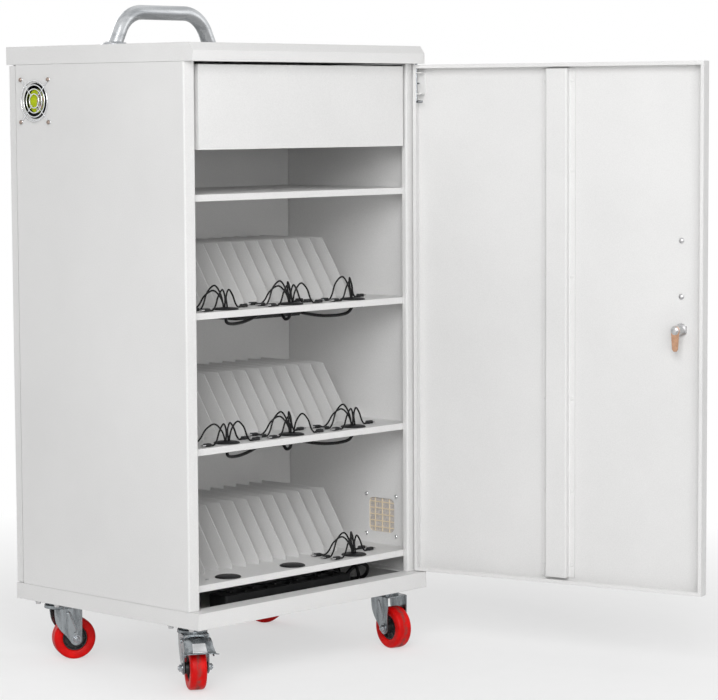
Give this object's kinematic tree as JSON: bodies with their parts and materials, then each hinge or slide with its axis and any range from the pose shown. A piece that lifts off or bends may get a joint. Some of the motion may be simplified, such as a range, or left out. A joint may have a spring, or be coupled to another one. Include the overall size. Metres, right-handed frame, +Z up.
{
  "type": "laptop charging cart",
  "caption": "Sheet-steel charging cart on castors with an open front door, divided shelves, cable grommets with leads, drawer, fan and push handle.",
  "frame": {"origin": "centre of the base pan's underside", "axes": "+X to the right seen from the front, -Y to the front, +Z up"},
  "size_m": [0.7915, 1.0683, 1.231],
  "materials": {
    "powder_coat": "fine textured satin",
    "black_plastic": "moulded matt",
    "lead_jacket": "soft satin",
    "chrome": "bright plated",
    "zinc_plate": "zinc plated",
    "yellow_passivate": "yellow passivated",
    "cream_plastic": "moulded satin",
    "red_tread": "moulded polyurethane"
  },
  "bodies": {
    "cart": {"base_pan": "powder_coat", "top_cap": "powder_coat", "left_side_panel": "powder_coat", "right_side_panel": "powder_coat", "inner_back_wall": "powder_coat", "top_shelf": "powder_coat", "upper_shelf": "powder_coat", "middle_shelf": "powder_coat", "lower_shelf": "powder_coat", "grommet_upper_left": "black_plastic", "grommet_upper_centre": "black_plastic", "grommet_upper_right": "black_plastic", "grommet_middle_left": "black_plastic", "grommet_middle_centre": "black_plastic", "grommet_middle_right": "black_plastic", "grommet_lower_left": "black_plastic", "grommet_lower_centre": "black_plastic", "grommet_lower_right": "black_plastic", "usb_charger_upper": "black_plastic", "usb_charger_middle": "black_plastic", "power_strip": "black_plastic", "rear_socket_strip": "black_plastic", "fan_frame": "black_plastic", "mains_inlet": "black_plastic", "leads_upper_left": "lead_jacket", "leads_upper_centre": "lead_jacket", "leads_upper_right": "lead_jacket", "leads_middle_left": "lead_jacket", "leads_middle_centre": "lead_jacket", "leads_middle_right": "lead_jacket", "leads_lower_right": "lead_jacket", "strip_supply_cord": "lead_jacket", "fan_guard": "chrome", "push_handle": "chrome", "drawer_runner_left": "zinc_plate", "drawer_runner_right": "zinc_plate", "castor_plate_front_left": "zinc_plate", "castor_plate_front_right": "zinc_plate", "castor_plate_rear_left": "zinc_plate", "castor_plate_rear_right": "zinc_plate", "vent_grille": "cream_plastic"},
    "front_door": {"front_door": "powder_coat", "door_stiffener": "powder_coat", "door_handle": "chrome", "lock_body": "chrome"},
    "lock_cam": {"lock_cam": "yellow_passivate"},
    "door_bolt": {"door_spring_bolt": "zinc_plate"},
    "rear_door": {"rear_door": "powder_coat"},
    "rear_lock": {"rear_lock": "chrome"},
    "drawer": {"drawer_box": "powder_coat"},
    "fan_rotor": {"fan_rotor": "black_plastic"},
    "brake_pedal": {"brake_pedal_front_left": "zinc_plate"},
    "fork_front_left": {"castor_fork_front_left": "zinc_plate"},
    "wheel_front_left": {"castor_wheel_front_left": "red_tread"},
    "fork_front_right": {"castor_fork_front_right": "zinc_plate"},
    "wheel_front_right": {"castor_wheel_front_right": "red_tread"},
    "fork_rear_left": {"castor_fork_rear_left": "zinc_plate"},
    "wheel_rear_left": {"castor_wheel_rear_left": "red_tread"},
    "fork_rear_right": {"castor_fork_rear_right": "zinc_plate"},
    "wheel_rear_right": {"castor_wheel_rear_right": "red_tread"}
  },
  "joints": [
    {"name": "front_door_swing", "type": "hinge", "parent": "cart", "child": "front_door", "pos_m": [0.294, -0.234, 0.5], "axis": [0, 0, 1], "range_deg": [-103, 12]},
    {"name": "lock_cam_turn", "type": "hinge", "parent": "front_door", "child": "lock_cam", "pos_m": [0.40332, -0.76399, 0.515], "axis": [-0.9744, -0.225, 0], "range_deg": [0, 90]},
    {"name": "door_bolt_slide", "type": "slide", "parent": "front_door", "child": "door_bolt", "axis": [0, 0, 1], "range_m": [-0.012, 0]},
    {"name": "rear_door_swing", "type": "hinge", "parent": "cart", "child": "rear_door", "pos_m": [-0.294, 0.24, 0.5], "axis": [0, 0, 1], "range_deg": [0, 110]},
    {"name": "rear_lock_turn", "type": "hinge", "parent": "rear_door", "child": "rear_lock", "pos_m": [0.247, 0.24, 0.515], "axis": [0, -1, 0], "range_deg": [0, 90]},
    {"name": "drawer_slide", "type": "slide", "parent": "cart", "child": "drawer", "axis": [0, -1, 0], "range_m": [0, 0.25]},
    {"name": "fan_spin", "type": "hinge", "parent": "cart", "child": "fan_rotor", "pos_m": [-0.29, 0.174, 0.935], "axis": [1, 0, 0], "continuous": true},
    {"name": "castor_swivel_front_left", "type": "hinge", "parent": "cart", "child": "fork_front_left", "pos_m": [-0.254, -0.184, -0.015], "axis": [0, 0, 1], "continuous": true},
    {"name": "wheel_spin_front_left", "type": "hinge", "parent": "fork_front_left", "child": "wheel_front_left", "pos_m": [-0.26925, -0.20748, -0.075], "axis": [0.8387, -0.5446, 0], "continuous": true},
    {"name": "castor_swivel_front_right", "type": "hinge", "parent": "cart", "child": "fork_front_right", "pos_m": [0.254, -0.184, -0.015], "axis": [0, 0, 1], "continuous": true},
    {"name": "wheel_spin_front_right", "type": "hinge", "parent": "fork_front_right", "child": "wheel_front_right", "pos_m": [0.24866, -0.21149, -0.075], "axis": [0.9816, -0.1908, 0], "continuous": true},
    {"name": "castor_swivel_rear_left", "type": "hinge", "parent": "cart", "child": "fork_rear_left", "pos_m": [-0.254, 0.184, -0.015], "axis": [0, 0, 1], "continuous": true},
    {"name": "wheel_spin_rear_left", "type": "hinge", "parent": "fork_rear_left", "child": "wheel_rear_left", "pos_m": [-0.22928, 0.17086, -0.075], "axis": [0.4695, 0.8829, 0], "continuous": true},
    {"name": "castor_swivel_rear_right", "type": "hinge", "parent": "cart", "child": "fork_rear_right", "pos_m": [0.254, 0.184, -0.015], "axis": [0, 0, 1], "continuous": true},
    {"name": "wheel_spin_rear_right", "type": "hinge", "parent": "fork_rear_right", "child": "wheel_rear_right", "pos_m": [0.268, 0.15975, -0.075], "axis": [0.866, 0.5, 0], "continuous": true},
    {"name": "brake_pedal_press", "type": "hinge", "parent": "fork_front_left", "child": "brake_pedal", "pos_m": [-0.27143, -0.21084, -0.0257], "axis": [0.8387, -0.5446, 0], "range_deg": [0, 15]}
  ]
}
